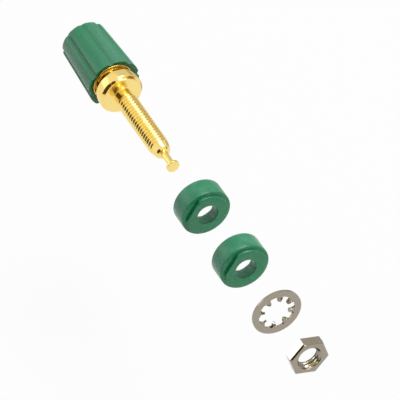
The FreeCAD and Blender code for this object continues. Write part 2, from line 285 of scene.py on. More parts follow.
class Wiring:
    """Places nodes in a tree and joins them, so that a formula reads from its parts to its result."""

    def __init__(self, tree):
        self.tree = tree

    def add(self, kind, inputs=None, **settings):
        """A new node with its settings made and its inputs fed with values or other nodes' outputs."""
        node = self.tree.nodes.new(kind)
        for name, setting in settings.items():
            setattr(node, name, setting)
        for key, value in (inputs or {}).items():
            self.feed(node.inputs[key], value)
        return node

    def feed(self, socket, value):
        """Joins an output to a socket, or sets the socket's own value."""
        if isinstance(value, bpy.types.NodeSocket):
            self.tree.links.new(value, socket)
        else:
            socket.default_value = value

    def math(self, operation, *values):
        """The result of one step of arithmetic."""
        return self.add("ShaderNodeMath", dict(enumerate(values)), operation=operation).outputs[0]

    plus = partialmethod(math, "ADD")
    minus = partialmethod(math, "SUBTRACT")
    times = partialmethod(math, "MULTIPLY")
    over = partialmethod(math, "DIVIDE")
    least = partialmethod(math, "MINIMUM")
    most = partialmethod(math, "MAXIMUM")

    def ramp(self, value, low, high, to_low=0.0, to_high=1.0, smooth=False):
        """A value carried from one range to another, and held at its ends."""
        inputs = {"Value": value, "From Min": low, "From Max": high, "To Min": to_low, "To Max": to_high}
        kind = "SMOOTHSTEP" if smooth else "LINEAR"
        return self.add("ShaderNodeMapRange", inputs, interpolation_type=kind).outputs["Result"]

    def polar(self, position):
        """Distance from the axis, angle about it and place along it, of a position."""
        parts = self.add("ShaderNodeSeparateXYZ", {0: position}).outputs
        across = self.times(parts["X"], parts["X"])
        radius = self.math("SQRT", self.math("MULTIPLY_ADD", parts["Z"], parts["Z"], across))
        return radius, self.math("ARCTAN2", parts["X"], parts["Z"]), parts["Y"]

    def polar_points(self):
        """The same of the points that a Geometry Nodes tree shapes."""
        return self.polar(self.add("GeometryNodeInputPosition").outputs[0])

    def object_place(self):
        """Where a shaded point lies in its own object."""
        return self.add("ShaderNodeTexCoord").outputs["Object"]

    def mixed(self, factor, first, second):
        """One colour mixed into another."""
        node = self.add("ShaderNodeMix", data_type="RGBA")
        for identifier, value in (("Factor_Float", factor), ("A_Color", first), ("B_Color", second)):
            self.feed(next(item for item in node.inputs if item.identifier == identifier), value)
        return next(item for item in node.outputs if item.identifier == "Result_Color")


def shaping_tree(name, sizes):
    """A Geometry Nodes tree with named inputs. Gives its wiring, all its inputs, and those that are sizes."""
    tree = bpy.data.node_groups.new(name, "GeometryNodeTree")
    kinds = {"Geometry": "Geometry", "Count": "Int", "Material": "Material"}
    for socket in ("Geometry", *sizes, "Material"):
        kind = "NodeSocket" + kinds.get(socket, "Float")
        tree.interface.new_socket(socket, in_out="INPUT", socket_type=kind)
    tree.interface.new_socket("Geometry", in_out="OUTPUT", socket_type="NodeSocketGeometry")
    wiring = Wiring(tree)
    inputs = wiring.add("NodeGroupInput").outputs
    return wiring, inputs, [inputs[size] for size in sizes]


def end_tree(wiring, inputs, geometry):
    """Ends a tree: instances are made real and the finish is set."""
    real = wiring.add("GeometryNodeRealizeInstances", {"Geometry": geometry})
    finish = {"Geometry": real.outputs[0], "Material": inputs["Material"]}
    finished = wiring.add("GeometryNodeSetMaterial", finish)
    wiring.add("NodeGroupOutput", {"Geometry": finished.outputs[0]})
    return wiring.tree


def move_to_radius(wiring, inputs, radius, angle, along, selection=True):
    """Moves the points to a new distance from the axis and ends the tree."""
    across = wiring.times(wiring.math("SINE", angle), radius)
    up = wiring.times(wiring.math("COSINE", angle), radius)
    place = wiring.add("ShaderNodeCombineXYZ", {"X": across, "Y": along, "Z": up}).outputs[0]
    moved = {"Geometry": inputs["Geometry"], "Position": place, "Selection": selection}
    return end_tree(wiring, inputs, wiring.add("GeometryNodeSetPosition", moved).outputs[0])


def thread_tree():
    """Cuts a right-hand thread into a round surface, or into a bore where the depth is negative."""
    sizes = ("Radius", "Depth", "Pitch", "Start", "End", "Fade")
    wiring, inputs, (surface, depth, pitch, start, end, fade) = shaping_tree("thread", sizes)
    radius, angle, along = wiring.polar_points()
    turns = wiring.minus(wiring.over(along, pitch), wiring.over(angle, math.tau))
    wave = wiring.math("ABSOLUTE", wiring.math("MULTIPLY_ADD", wiring.math("FRACT", turns), 2.0, -1.0))
    flank = wiring.ramp(wave, CREST_SHARE, ROOT_SHARE)
    run_in = wiring.ramp(along, start, wiring.plus(start, fade))
    run_out = wiring.ramp(along, wiring.minus(end, fade), end, 1.0, 0.0)
    held = wiring.times(flank, wiring.least(run_in, run_out))
    cut = wiring.minus(surface, wiring.times(depth, held))
    side = wiring.math("SIGN", depth)
    nearer = wiring.least(wiring.times(side, radius), wiring.times(side, cut))
    reached = wiring.math("LESS_THAN", radius, wiring.times(surface, THREAD_REACH))
    inside = wiring.times(wiring.math("GREATER_THAN", along, start), wiring.math("LESS_THAN", along, end))
    chosen = wiring.times(reached, inside)
    return move_to_radius(wiring, inputs, wiring.times(side, nearer), angle, along, chosen)


def angle_from_nearest(wiring, angle, turned, number):
    """The angle to the nearest of several evenly spaced features."""
    half = wiring.over(math.pi, number)
    offset = wiring.minus(angle, turned)
    return wiring.math("WRAP", offset, half, wiring.times(half, -1.0))


def flats_tree():
    """Cuts evenly spaced flats into a turned piece between two places along the axis."""
    sizes = ("Distance", "Bevel", "Count", "Turn", "Start", "End")
    wiring, inputs, (distance, bevel, number, turned, start, end) = shaping_tree("flats", sizes)
    radius, angle, along = wiring.polar_points()
    offset = angle_from_nearest(wiring, angle, turned, number)
    # A point that faces away from the only flat is held off, so that nothing is divided by zero or less.
    facing = wiring.most(wiring.math("COSINE", offset), 0.05)
    from_end = wiring.least(wiring.minus(along, start), wiring.minus(end, along))
    bevelled = wiring.minus(distance, wiring.most(wiring.minus(bevel, from_end), 0.0))
    cut = wiring.least(radius, wiring.over(bevelled, facing))
    return move_to_radius(wiring, inputs, cut, angle, along, wiring.math("GREATER_THAN", from_end, -SMALL))


def finger_groove_tree():
    """Presses round grooves into a tapered grip, as deep at one end as at the other."""
    sizes = ("Count", "Turn", "Radius", "Depth", "Lip", "Rim Radius", "Rim Place", "Taper")
    wiring, inputs, sizes = shaping_tree("finger_grooves", sizes)
    number, turned, groove, depth, lip, rim, rim_place, taper = sizes
    radius, angle, along = wiring.polar_points()
    narrowed = wiring.minus(rim, wiring.times(wiring.minus(rim_place, along), taper))
    centre = wiring.plus(narrowed, wiring.minus(groove, depth))
    offset = angle_from_nearest(wiring, angle, turned, number)
    aside = wiring.times(centre, wiring.math("SINE", offset))
    room = wiring.minus(wiring.times(groove, groove), wiring.times(aside, aside))
    chord = wiring.math("SQRT", wiring.most(room, 0.0))
    floor = wiring.minus(wiring.times(centre, wiring.math("COSINE", offset)), chord)
    outside = wiring.math("LESS_THAN", room, 0.0)
    pressed = wiring.math("SMOOTH_MIN", radius, wiring.plus(floor, outside), lip)
    return move_to_radius(wiring, inputs, pressed, angle, along)


def ring_tree():
    """Repeats a sector about the axis and joins the copies into one ring."""
    wiring, inputs, (number, turned) = shaping_tree("ring_of_sectors", ("Count", "Turn"))
    points = wiring.add("GeometryNodePoints", {"Count": number}).outputs[0]
    place = wiring.add("GeometryNodeInputIndex").outputs[0]
    turns = wiring.math("MULTIPLY_ADD", place, wiring.over(math.tau, number), turned)
    spin = wiring.add("ShaderNodeCombineXYZ", {"Y": turns}).outputs[0]
    copies = {"Points": points, "Instance": inputs["Geometry"], "Rotation": spin}
    ring = wiring.add("GeometryNodeInstanceOnPoints", copies).outputs[0]
    real = wiring.add("GeometryNodeRealizeInstances", {"Geometry": ring}).outputs[0]
    joined = wiring.add("GeometryNodeMergeByDistance", {"Geometry": real, "Distance": SMALL})
    return end_tree(wiring, inputs, joined.outputs[0])


def group_of(name):
    """A node group, built the first time that it is asked for."""
    return bpy.data.node_groups.get(name) or GROUP_MAKERS[name]()


def shape(piece, name, material, **sizes):
    """Puts a shaping tree on a piece, with its inputs set by the sockets' identifiers."""
    tree = group_of(name)
    modifier = piece.modifiers.new(name, "NODES")
    modifier.node_group = tree
    values = {size.replace("_", " ").title(): value for size, value in sizes.items()}
    values["Material"] = material
    for socket in tree.interface.items_tree:
        if socket.in_out == "INPUT" and socket.name in values:
            modifier[socket.identifier] = values[socket.name]


def settle(piece):
    """Works a piece's modifiers into its mesh."""
    graph = bpy.context.evaluated_depsgraph_get()
    mesh = bpy.data.meshes.new_from_object(piece.evaluated_get(graph), depsgraph=graph)
    piece.modifiers.clear()
    plain, piece.data = piece.data, mesh
    bpy.data.meshes.remove(plain)


def new_piece(name, points, faces):
    """A new object from points and faces, with its normals pointing outwards."""
    mesh = bpy.data.meshes.new(name)
    mesh.from_pydata(points, [], faces)
    build = bmesh.new()
    build.from_mesh(mesh)
    bmesh.ops.recalc_face_normals(build, faces=build.faces)
    build.to_mesh(mesh)
    build.free()
    piece = bpy.data.objects.new(name, mesh)
    bpy.context.scene.collection.objects.link(piece)
    return piece


def softened(corners, steps=4):
    """Outline points from (radius, place, rounding) corners, with a small curve in place of each corner."""
    points = []
    for index, (radius, along, rounding) in enumerate(corners):
        here = Vector((radius, along))
        if not rounding:
            points.append(here)
            continue
        before = Vector(corners[index - 1][:2]) - here
        after = Vector(corners[(index + 1) % len(corners)][:2]) - here
        start = here + before.normalized() * min(rounding, before.length * ROUNDING_SHARE)
        end = here + after.normalized() * min(rounding, after.length * ROUNDING_SHARE)
        for step in range(steps + 1):
            part = step / steps
            points.append(start * (1 - part) ** 2 + here * 2 * part * (1 - part) + end * part ** 2)
    return points


def with_rows(points, low, high, step):
    """The outline with extra points, no further apart than step, where it runs between two places."""
    dense = []
    for here, there in zip(points, points[1:] + points[:1]):
        dense.append(here)
        run = abs(there.y - here.y)
        if run > step and min(here.y, there.y) >= low - step and max(here.y, there.y) <= high + step:
            rows = math.ceil(run / step)
            dense += [here.lerp(there, row / rows) for row in range(1, rows)]
    return dense


def turned_piece(name, outline, columns, closed=True):
    """A piece turned about the post's axis from an outline of (radius, place) points."""
    points, faces, rings = [], [], []
    for radius, along in outline:
        if radius < SMALL:
            rings.append([len(points)])
            points.append((0, along, 0))
            continue
        rings.append(list(range(len(points), len(points) + columns)))
        for column in range(columns):
            angle = math.tau * column / columns
            points.append((radius * math.sin(angle), along, radius * math.cos(angle)))
    following = rings[1:] + rings[:1] if closed else rings[1:]
    for ring, beyond in zip(rings, following):
        for column in range(columns):
            after = (column + 1) % columns
            corners = [ring[column % len(ring)], beyond[column % len(beyond)],
                       beyond[after % len(beyond)], ring[after % len(ring)]]
            faces.append(list(dict.fromkeys(corners)))
    return new_piece(name, points, faces)


def finish_piece(piece, node, material, sharp=40):
    """Settles a piece, smooths its shading up to an angle in degrees, and lets it stand for a CAD node."""
    settle(piece)
    mesh = piece.data
    mesh.materials.clear()
    mesh.materials.append(material)
    mesh.polygons.foreach_set("use_smooth", [True] * len(mesh.polygons))
    mesh.set_sharp_from_angle(angle=math.radians(sharp))
    flat = mesh.attributes.new(FLAT_FACE, "FLOAT", "FACE")
    flat.data.foreach_set("value", [float(face.normal.y > FLAT_LIMIT) for face in mesh.polygons])
    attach(piece, node)
    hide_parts(node)


def effect_group(name, inputs, outputs):
    """A shader node group with named inputs and outputs. Gives its wiring, its inputs and its output node."""
    tree = bpy.data.node_groups.new(name, "ShaderNodeTree")
    for socket, default in inputs:
        made = tree.interface.new_socket(socket, in_out="INPUT", socket_type="NodeSocketFloat")
        made.default_value = default
    for socket in outputs:
        tree.interface.new_socket(socket, in_out="OUTPUT", socket_type="NodeSocketFloat")
    wiring = Wiring(tree)
    return wiring, wiring.add("NodeGroupInput").outputs, wiring.add("NodeGroupOutput").inputs


def lathe_marks_group():
    """Fine rings about the axis, as a lathe or a turned mould leaves them."""
    wiring, inputs, outputs = effect_group("lathe_marks", (("Fineness", 9000.0),), ("Marks",))
    radius, _, along = wiring.polar(wiring.object_place())
    line = wiring.add("ShaderNodeCombineXYZ", {"X": radius, "Y": along}).outputs[0]
    values = {"Vector": line, "Scale": inputs["Fineness"], "Detail": 2.0, "Roughness": 0.6}
    wiring.feed(outputs["Marks"], wiring.add("ShaderNodeTexNoise", values).outputs["Fac"])
    return wiring.tree


def cloud_group():
    """Soft patches over a fine grain."""
    names = (("Patch Scale", 300.0), ("Grain Scale", 6000.0), ("Stretch", 1.0))
    wiring, inputs, outputs = effect_group("clouds", names, ("Patches", "Grain"))
    place = wiring.object_place()
    parts = wiring.add("ShaderNodeSeparateXYZ", {0: place}).outputs
    drawn = wiring.times(parts["Y"], inputs["Stretch"])
    pulled = wiring.add("ShaderNodeCombineXYZ", {"X": parts["X"], "Y": drawn, "Z": parts["Z"]}).outputs[0]
    patches = {"Vector": pulled, "Scale": inputs["Patch Scale"], "Detail": 3.0}
    grain = {"Vector": place, "Scale": inputs["Grain Scale"], "Detail": 2.0}
    for name, values in (("Patches", patches), ("Grain", grain)):
        wiring.feed(outputs[name], wiring.add("ShaderNodeTexNoise", values).outputs["Fac"])
    return wiring.tree


GROUP_MAKERS = {
    "thread": thread_tree,
    "flats": flats_tree,
    "finger_grooves": finger_groove_tree,
    "ring_of_sectors": ring_tree,
    "lathe_marks": lathe_marks_group,
    "clouds": cloud_group,
}


def use_group(wiring, name, **values):
    """An effect group placed in a material with its own values."""
    node = wiring.add("ShaderNodeGroup", node_tree=group_of(name))
    for key, value in values.items():
        wiring.feed(node.inputs[key.replace("_", " ").title()], value)
    return node.outputs


def opaque(tone):
    """A colour with its alpha."""
    return (*tone, 1.0)


def emptied(owner):
    """Clears the node tree of a material or a world. Gives its wiring."""
    owner.use_nodes = True
    owner.node_tree.nodes.clear()
    return Wiring(owner.node_tree)


def new_material(name, shown):
    """A material with a single shader. Gives it with its wiring and its shader's inputs."""
    material = bpy.data.materials.new(name)
    material.diffuse_color = opaque(shown)
    wiring = emptied(material)
    shader = wiring.add("ShaderNodeBsdfPrincipled")
    wiring.add("ShaderNodeOutputMaterial", {"Surface": shader.outputs[0]})
    return material, wiring, shader.inputs


def flat_faces(wiring):
    """1 on the flat faces that finish_piece marks, 0 on the rest."""
    return wiring.add("ShaderNodeAttribute", attribute_name=FLAT_FACE).outputs["Fac"]


def dress(wiring, shader, tone, facing_tone, roughness, relief, strength, depth):
    """Feeds a shader its tone, another one for flat faces (on some finishes painted shade, on others painted
    light), its roughness and its relief.
    """
    wiring.feed(shader["Base Color"], wiring.mixed(flat_faces(wiring), tone, opaque(facing_tone)))
    wiring.feed(shader["Roughness"], roughness)
    bump = wiring.add("ShaderNodeBump", {"Strength": strength, "Distance": depth, "Height": relief})
    wiring.feed(shader["Normal"], bump.outputs[0])


def plated_metal(name, bright, shade, facing_tone, polished, satin=0.2, marks=0.5, fineness=9000.0):
    """Polished plating with lathe rings and faint clouds, satin and with a tone of its own on flat faces."""
    material, wiring, shader = new_material(name, bright)
    rings = use_group(wiring, "lathe_marks", fineness=fineness)["Marks"]
    clouds = use_group(wiring, "clouds", patch_scale=500.0, grain_scale=9000.0)
    mottled = wiring.ramp(wiring.plus(clouds["Patches"], wiring.times(rings, 0.5)), 0.55, 1.1)
    tone = wiring.mixed(mottled, opaque(bright), opaque(shade))
    uneven = wiring.ramp(clouds["Patches"], *NOISE_SPAN, 0.85, 1.2)
    roughness = wiring.times(uneven, wiring.ramp(flat_faces(wiring), 0, 1, polished, satin))
    relief = wiring.plus(wiring.times(rings, marks), wiring.times(clouds["Grain"], 0.15))
    shader["Metallic"].default_value = 1.0
    dress(wiring, shader, tone, facing_tone, roughness, relief, strength=0.02, depth=0.01 * MM)
    return material


def moulded_plastic(name, tone, light, facing_tone, stretch, marks):
    """Satin moulded plastic: paler patches drawn along or across the piece (flow marks on the bushings,
    painted sheen streaks on the grip), and a fine grain.
    """
    material, wiring, shader = new_material(name, tone)
    clouds = use_group(wiring, "clouds", patch_scale=380.0, grain_scale=2600.0, stretch=stretch)
    rings = use_group(wiring, "lathe_marks", fineness=4200.0)["Marks"]
    marked = wiring.times(rings, marks)
    patch = wiring.ramp(clouds["Patches"], 0.4, 0.66, smooth=True)
    drawn = wiring.plus(wiring.times(patch, 0.8), marked)
    moulding = wiring.mixed(drawn, opaque(tone), opaque(light))
    roughness = wiring.ramp(clouds["Patches"], *NOISE_SPAN, 0.14, 0.32)
    relief = wiring.plus(wiring.times(clouds["Grain"], 0.6), marked)
    dress(wiring, shader, moulding, facing_tone, roughness, relief, strength=0.5, depth=0.04 * MM)
    return material


# Each finish: its maker, its main tone, the one mixed into it, the one of flat faces, and its own values.
# The flat-face tone is painted shade on the insert's clamping face and the grip's rim, and painted light on
# the bushings' faces; the grip's mixed-in tone is painted sheen.
FINISHES = {
    "bright_gold": (plated_metal, "gold", "gold_shade", "gold", {"polished": 0.09}),
    "insert_gold": (plated_metal, "gold", "gold_shade", "clamp_face", {"polished": 0.12}),
    "bright_nickel": (plated_metal, "nickel", "nickel_shade", "nickel",
                      {"polished": 0.17, "satin": 0.27, "marks": 0.35, "fineness": 7000.0}),
    "green_grip": (moulded_plastic, "green", "green_worn", "green_rim", {"stretch": 0.12, "marks": 0.1}),
    "green_bushing": (moulded_plastic, "green", "green_light", "green_face", {"stretch": 1.0, "marks": 0.45}),
}


def finish_of(name):
    """One of the set's finishes, made the first time that it is asked for."""
    made = bpy.data.materials.get(name)
    if made:
        return made
    maker, *tones, values = FINISHES[name]
    colours = bpy.context.scene.binding_post.finish
    return maker(name, *(getattr(colours, tone) for tone in tones), **values)


class BINDINGPOST_OT_post(bpy.types.Operator):
    """Turn the plated post: solder turret, threaded stud, collar and cross-drilled barrel"""

    bl_idname = "binding_post.post"
    bl_label = "Post"

    def execute(self, context):
        sizes = context.scene.binding_post.post
        stud = mount_radius("stud")
        neck_end, straight_end = mount_ends("stud")
        stud_end = straight_end + sizes.nose_length
        barrel_end, tip = node_ends("post")
        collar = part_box("post")[1].x
        collar_back = MOUNTS["lug_clamp"]["pos_m"][1]
        barrel = mount_radius("lug_clamp")
        waist = mount_radius("solder_turret")
        socket = mount_radius("plug_socket")
        socket_floor = mount_ends("plug_socket")[1]
        knee = sizes.nose_radius + (stud - sizes.nose_radius) * sizes.knee_out
        edge = sizes.edge
        outline = softened([
            (0, tip, 0),
            (sizes.turret_radius, tip, edge / 2),
            (sizes.turret_radius, tip - sizes.turret_disc, edge / 2),
            (waist, tip - sizes.turret_disc, edge),
            (waist, stud_end, edge * 2),
            (sizes.nose_radius - sizes.nose_bevel / 2, stud_end, edge / 3),
            (sizes.nose_radius + sizes.nose_bevel / 4, stud_end - sizes.nose_bevel, edge / 3),
            (knee, straight_end + sizes.nose_length * sizes.knee_along, sizes.nose_length / 3),
            (stud, straight_end, sizes.nose_length / 3),
            (stud, neck_end, edge * 2),
            (sizes.neck_radius, neck_end, edge),
            (sizes.neck_radius, 0, edge),
            (collar - sizes.collar_bevel, 0, edge),
            (collar, -sizes.collar_bevel, edge),
            (collar, collar_back + edge, edge / 2),
            (collar - edge, collar_back, edge / 2),
            (barrel, collar_back, edge),
            (barrel, barrel_end + sizes.mouth, edge),
            (barrel - sizes.mouth, barrel_end, edge / 2),
            (socket + sizes.mouth, barrel_end, edge / 2),
            (socket, barrel_end + sizes.mouth, edge / 2),
            (socket, socket_floor, edge),
            (0, socket_floor + socket * math.tan(sizes.drill_slope), 0),
        ])
        outline = with_rows(outline, neck_end, stud_end, sizes.stud_pitch / FINE_ROWS)
        outline = with_rows(outline, barrel_end + sizes.mouth, collar_back, sizes.barrel_pitch / COARSE_ROWS)
        gold = finish_of("bright_gold")
        post = turned_piece("post_turning", outline, columns=96, closed=False)
        shape(post, "thread", gold, radius=stud, depth=sizes.stud_depth, pitch=sizes.stud_pitch,
              start=neck_end - edge, end=straight_end + sizes.nose_length * sizes.marked_nose,
              fade=sizes.stud_pitch * 0.7)
        shape(post, "thread", gold, radius=barrel, depth=sizes.barrel_depth, pitch=sizes.barrel_pitch,
              start=barrel_end - edge, end=collar_back - sizes.relief, fade=sizes.barrel_pitch * 0.5)
        settle(post)
        bore, reach = mount_radius("wire_hole"), barrel * 2
        rod = [(0, -reach), (bore, -reach), (bore, reach), (0, reach)]
        drill = turned_piece("drill", rod, columns=48, closed=False)
        across = Matrix.Translation(MOUNTS["wire_hole"]["pos_m"]) @ Matrix.Rotation(math.pi / 2, 4, "Z")
        drill.data.transform(across)
        hole = post.modifiers.new("wire_hole", "BOOLEAN")
        hole.object = drill
        hole.operation = "DIFFERENCE"
        finish_piece(post, "post", gold)
        bpy.data.objects.remove(drill)
        return {"FINISHED"}


class BINDINGPOST_OT_knob_insert(bpy.types.Operator):
    """Turn the threaded insert that the knob clamps with"""

    bl_idname = "binding_post.knob_insert"
    bl_label = "Knob insert"

    def execute(self, context):
        sizes = context.scene.binding_post.knob
        post = context.scene.binding_post.post
        back, face = node_ends("knob_insert")
        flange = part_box("knob_insert")[1].x
        bore = mount_radius("lug_clamp") + sizes.gap
        lock = sizes.insert_radius - sizes.lock_depth
        lock_front = face - sizes.lock_start
        lock_back = lock_front - sizes.lock_width
        edge = post.edge
        outline = softened([
            (bore, face, edge),
            (flange, face, edge * 1.5),
            (flange, face - sizes.flange, edge / 3),
            (sizes.insert_radius, face - sizes.flange, 0),
            (sizes.insert_radius, lock_front, 0),
            (lock, lock_front, 0),
            (lock, lock_back, 0),
            (sizes.insert_radius, lock_back, 0),
            (sizes.insert_radius, back, 0),
            (bore, back, edge),
        ])
        outline = with_rows(outline, back, face, post.barrel_pitch / COARSE_ROWS)
        gold = finish_of("insert_gold")
        insert = turned_piece("knob_insert_turning", outline, columns=96)
        shape(insert, "thread", gold, radius=bore, depth=-sizes.thread_depth, pitch=post.barrel_pitch,
              start=back, end=face, fade=post.barrel_pitch * 0.3)
        finish_piece(insert, "knob_insert", gold)
        return {"FINISHED"}


class BINDINGPOST_OT_knob_grip(bpy.types.Operator):
    """Mould the knob's tapered grip and press its finger grooves"""

    bl_idname = "binding_post.knob_grip"
    bl_label = "Knob grip"

    def execute(self, context):
        sizes = context.scene.binding_post.knob
        crown, rim = node_ends("knob_shell")
        insert_back, face = node_ends("knob_insert")
        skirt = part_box("post")[1].x + sizes.skirt_gap
        pocket = sizes.insert_radius + sizes.gap
        rib = pocket - sizes.lock_depth
        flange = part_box("knob_insert")[1].x + sizes.gap
        flange_back = face - sizes.flange - sizes.gap
        rib_front = face - sizes.lock_start - sizes.gap
        rib_back = face - sizes.lock_start - sizes.lock_width + sizes.gap
        pocket_back = insert_back - sizes.gap
        passage = mount_radius("lug_clamp") + sizes.gap * 2
        soft = sizes.crown_round / 3
        outline = softened([
            (skirt, rim, soft),
            (sizes.rim_radius, rim, soft),
            (sizes.crown_radius, crown, sizes.crown_round),
            (passage, crown, soft),
            (passage, pocket_back, 0),
            (pocket, pocket_back, 0),
            (pocket, rib_back, 0),
            (rib, rib_back, 0),
            (rib, rib_front, 0),
            (pocket, rib_front, 0),
            (pocket, flange_back, 0),
            (flange, flange_back, 0),
            (flange, face, 0),
            (skirt, face, 0),
        ], steps=6)
        green = finish_of("green_grip")
        grip = turned_piece("knob_grip", outline, columns=384)
        taper = (sizes.rim_radius - sizes.crown_radius) / (rim - crown)
        shape(grip, "finger_grooves", green, count=sizes.grooves, turn=sizes.groove_turn,
              radius=sizes.groove_radius, depth=sizes.groove_depth, lip=sizes.groove_lip,
              rim_radius=sizes.rim_radius, rim_place=rim, taper=taper)
        finish_piece(grip, "knob_shell", green)
        return {"FINISHED"}


class BINDINGPOST_OT_bushings(bpy.types.Operator):
    """Mould the two insulating bushings, each with a recess for the collar and a flatted boss"""

    bl_idname = "binding_post.bushings"
    bl_label = "Bushings"

    def execute(self, context):
        sizes = context.scene.binding_post.bushing
        boss_low, boss_high = mount_ends("panel_boss")
        green = finish_of("green_bushing")
        boss = mount_radius("panel_boss")
        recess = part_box("post")[1].x + sizes.recess_gap
        outer_edge = sizes.edge * 1.6
        for node in ("front_bushing", "rear_bushing"):
            back, face = node_ends(node)
            shoulder = face - (boss_high - boss_low)
            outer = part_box(node)[1].x
            outline = softened([
                (sizes.bore_radius, face, sizes.edge),
                (boss, face, sizes.edge),
                (boss, shoulder, sizes.edge / 2),
                (outer, shoulder, outer_edge),
                (outer, back, outer_edge),
                (recess, back, sizes.edge / 2),
                (recess, back + sizes.recess_depth, sizes.edge / 2),
                (sizes.bore_radius, back + sizes.recess_depth, sizes.edge / 2),
            ])
            bushing = turned_piece(node + "_moulding", outline, columns=144)
            shape(bushing, "flats", green, distance=sizes.flat, bevel=0.0, count=1, turn=sizes.flat_turn,
                  start=shoulder, end=face + MM)
            finish_piece(bushing, node, green)
        return {"FINISHED"}


def washer_sector(sizes):
    """Points and faces of one tooth and its share of the band, about the +Z side of the axis."""
    low, high = node_ends("lock_washer")
    middle = (low + high) / 2
    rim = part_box("lock_washer")[1].z
    columns, tooth_columns, band_rows, tooth_rows = 24, 14, 4, 12
    half_sector = math.pi / sizes.teeth
    points, faces = [], []

    def add_row(places):
        first = len(points)
        points.extend(places)
        return list(range(first, len(points)))

    def join_rows(row, beyond):
        for left in range(len(row) - 1):
            faces.append((row[left], row[left + 1], beyond[left + 1], beyond[left]))

    band = []
    for step in range(band_rows + 1):
        radius = sizes.root_radius + (rim - sizes.root_radius) * step / band_rows
        angles = [half_sector * (2 * column / columns - 1) for column in range(columns + 1)]
        places = [(radius * math.sin(angle), middle, radius * math.cos(angle)) for angle in angles]
        band.append(add_row(places))
    for row, beyond in zip(band, band[1:]):
        join_rows(row, beyond)

    first_column = (columns - tooth_columns) // 2
    previous = band[0][first_column:first_column + tooth_columns + 1]
    root = [points[index] for index in previous]
    for row in range(1, tooth_rows + 1):
        part = row / tooth_rows
        # A tooth narrows in a rounded root, turns about its own middle and ends in a rounded tip.
        half_width = sizes.tooth_width / 2 * (1 - sizes.taper * part) + sizes.root_round * (1 - part) ** 4
        bent = min(part / sizes.bend, 1)
        twist = sizes.twist * bent * bent * (3 - 2 * bent)
        places = []
        for column, (_, along, up) in enumerate(root):
            aside = 2 * column / tooth_columns - 1
            reach = sizes.tip_radius + sizes.tip_round * abs(aside) ** 3
            offset = half_width * aside
            turned = (offset * math.cos(twist), along + offset * math.sin(twist))
            places.append((*turned, up + (reach - up) * part))
        current = add_row(places)
        join_rows(current, previous)
        previous = current
    return points, faces


class BINDINGPOST_OT_lock_washer(bpy.types.Operator):
    """Punch the lock washer and twist its inner teeth"""

    bl_idname = "binding_post.lock_washer"
    bl_label = "Lock washer"

    def execute(self, context):
        sizes = context.scene.binding_post.washer
        nickel = finish_of("bright_nickel")
        points, faces = washer_sector(sizes)
        washer = new_piece("lock_washer_punching", points, faces)
        shape(washer, "ring_of_sectors", nickel, count=sizes.teeth, turn=sizes.turned)
        sheet = washer.modifiers.new("sheet", "SOLIDIFY")
        sheet.thickness = sizes.thickness
        sheet.offset = 0
        sheet.use_even_offset = True
        edge = washer.modifiers.new("edge", "BEVEL")
        edge.width = sizes.edge
        edge.segments = 1
        edge.limit_method = "ANGLE"
        edge.angle_limit = math.radians(50)
        finish_piece(washer, "lock_washer", nickel, sharp=30)
        return {"FINISHED"}


class BINDINGPOST_OT_hex_nut(bpy.types.Operator):
    """Cut the hex nut from a turned blank and thread its bore"""

    bl_idname = "binding_post.hex_nut"
    bl_label = "Hex nut"

    def execute(self, context):
        sizes = context.scene.binding_post.nut
        post = context.scene.binding_post.post
        back, face = node_ends("hex_nut")
        # The blank is a little wider than the corners of the six flats, and its ends slope by 30 degrees.
        slope = math.pi / 6
        blank = sizes.flat / math.cos(slope) * 1.02
        drop = (blank - sizes.crown) * math.tan(slope)
        sink = sizes.mouth - sizes.bore_radius
        edge = post.edge / 2
        outline = softened([
            (sizes.bore_radius, back + sink, 0),
            (sizes.mouth, back, edge),
            (sizes.crown, back, edge),
            (blank, back + drop, 0),
            (blank, face - drop, 0),
            (sizes.crown, face, edge),
            (sizes.mouth, face, edge),
            (sizes.bore_radius, face - sink, 0),
        ])
        outline = with_rows(outline, back, face, post.stud_pitch / FINE_ROWS)
        nickel = finish_of("bright_nickel")
        nut = turned_piece("hex_nut_blank", outline, columns=288)
        shape(nut, "flats", nickel, distance=sizes.flat, bevel=sizes.edge, count=6, turn=sizes.turned,
              start=back, end=face)
        shape(nut, "thread", nickel, radius=sizes.bore_radius, depth=-sizes.thread_depth,
              pitch=post.stud_pitch, start=back - MM, end=face + MM, fade=MM / 2)
        finish_piece(nut, "hex_nut", nickel, sharp=25)
        return {"FINISHED"}


def view_turn(azimuth, elevation):
    """The turn of a camera that looks at the set from this side: its right, its up and the way back to it."""
    back = Vector((math.sin(azimuth) * math.cos(elevation), -math.cos(azimuth) * math.cos(elevation),
                   math.sin(elevation)))
    right = Vector((math.cos(azimuth), math.sin(azimuth), 0))
    return Matrix((right, back.cross(right), back)).transposed()


def add_stage_object(name, data, place, turned=None):
    """A lamp, camera or sheet of the stage, at its place."""
    thing = bpy.data.objects.new(name, data)
    thing.matrix_world = Matrix.LocRotScale(place, turned, None)
    bpy.context.scene.collection.objects.link(thing)
    return thing


def sheet_mesh(name, width, depth):
    """A plain upright rectangle that faces along its own Z."""
    mesh = bpy.data.meshes.new(name)
    half, rise = width / 2, depth / 2
    corners = [(-half, -rise, 0), (half, -rise, 0), (half, rise, 0), (-half, rise, 0)]
    mesh.from_pydata(corners, [], [(0, 1, 2, 3)])
    return mesh


def facing(place, target):
    """The turn that points a lamp or a card from its place to a target."""
    return (target - place).to_track_quat("-Z", "Y").to_matrix()


def white_where_seen(wiring, seen, lit):
    """A strength with one value for the camera and mirrored or refracted rays, and another for the rest."""
    path = wiring.add("ShaderNodeLightPath").outputs
    direct = wiring.most(path["Is Camera Ray"], path["Is Glossy Ray"])
    return wiring.ramp(wiring.most(direct, path["Is Transmission Ray"]), 0.0, 1.0, lit, seen)


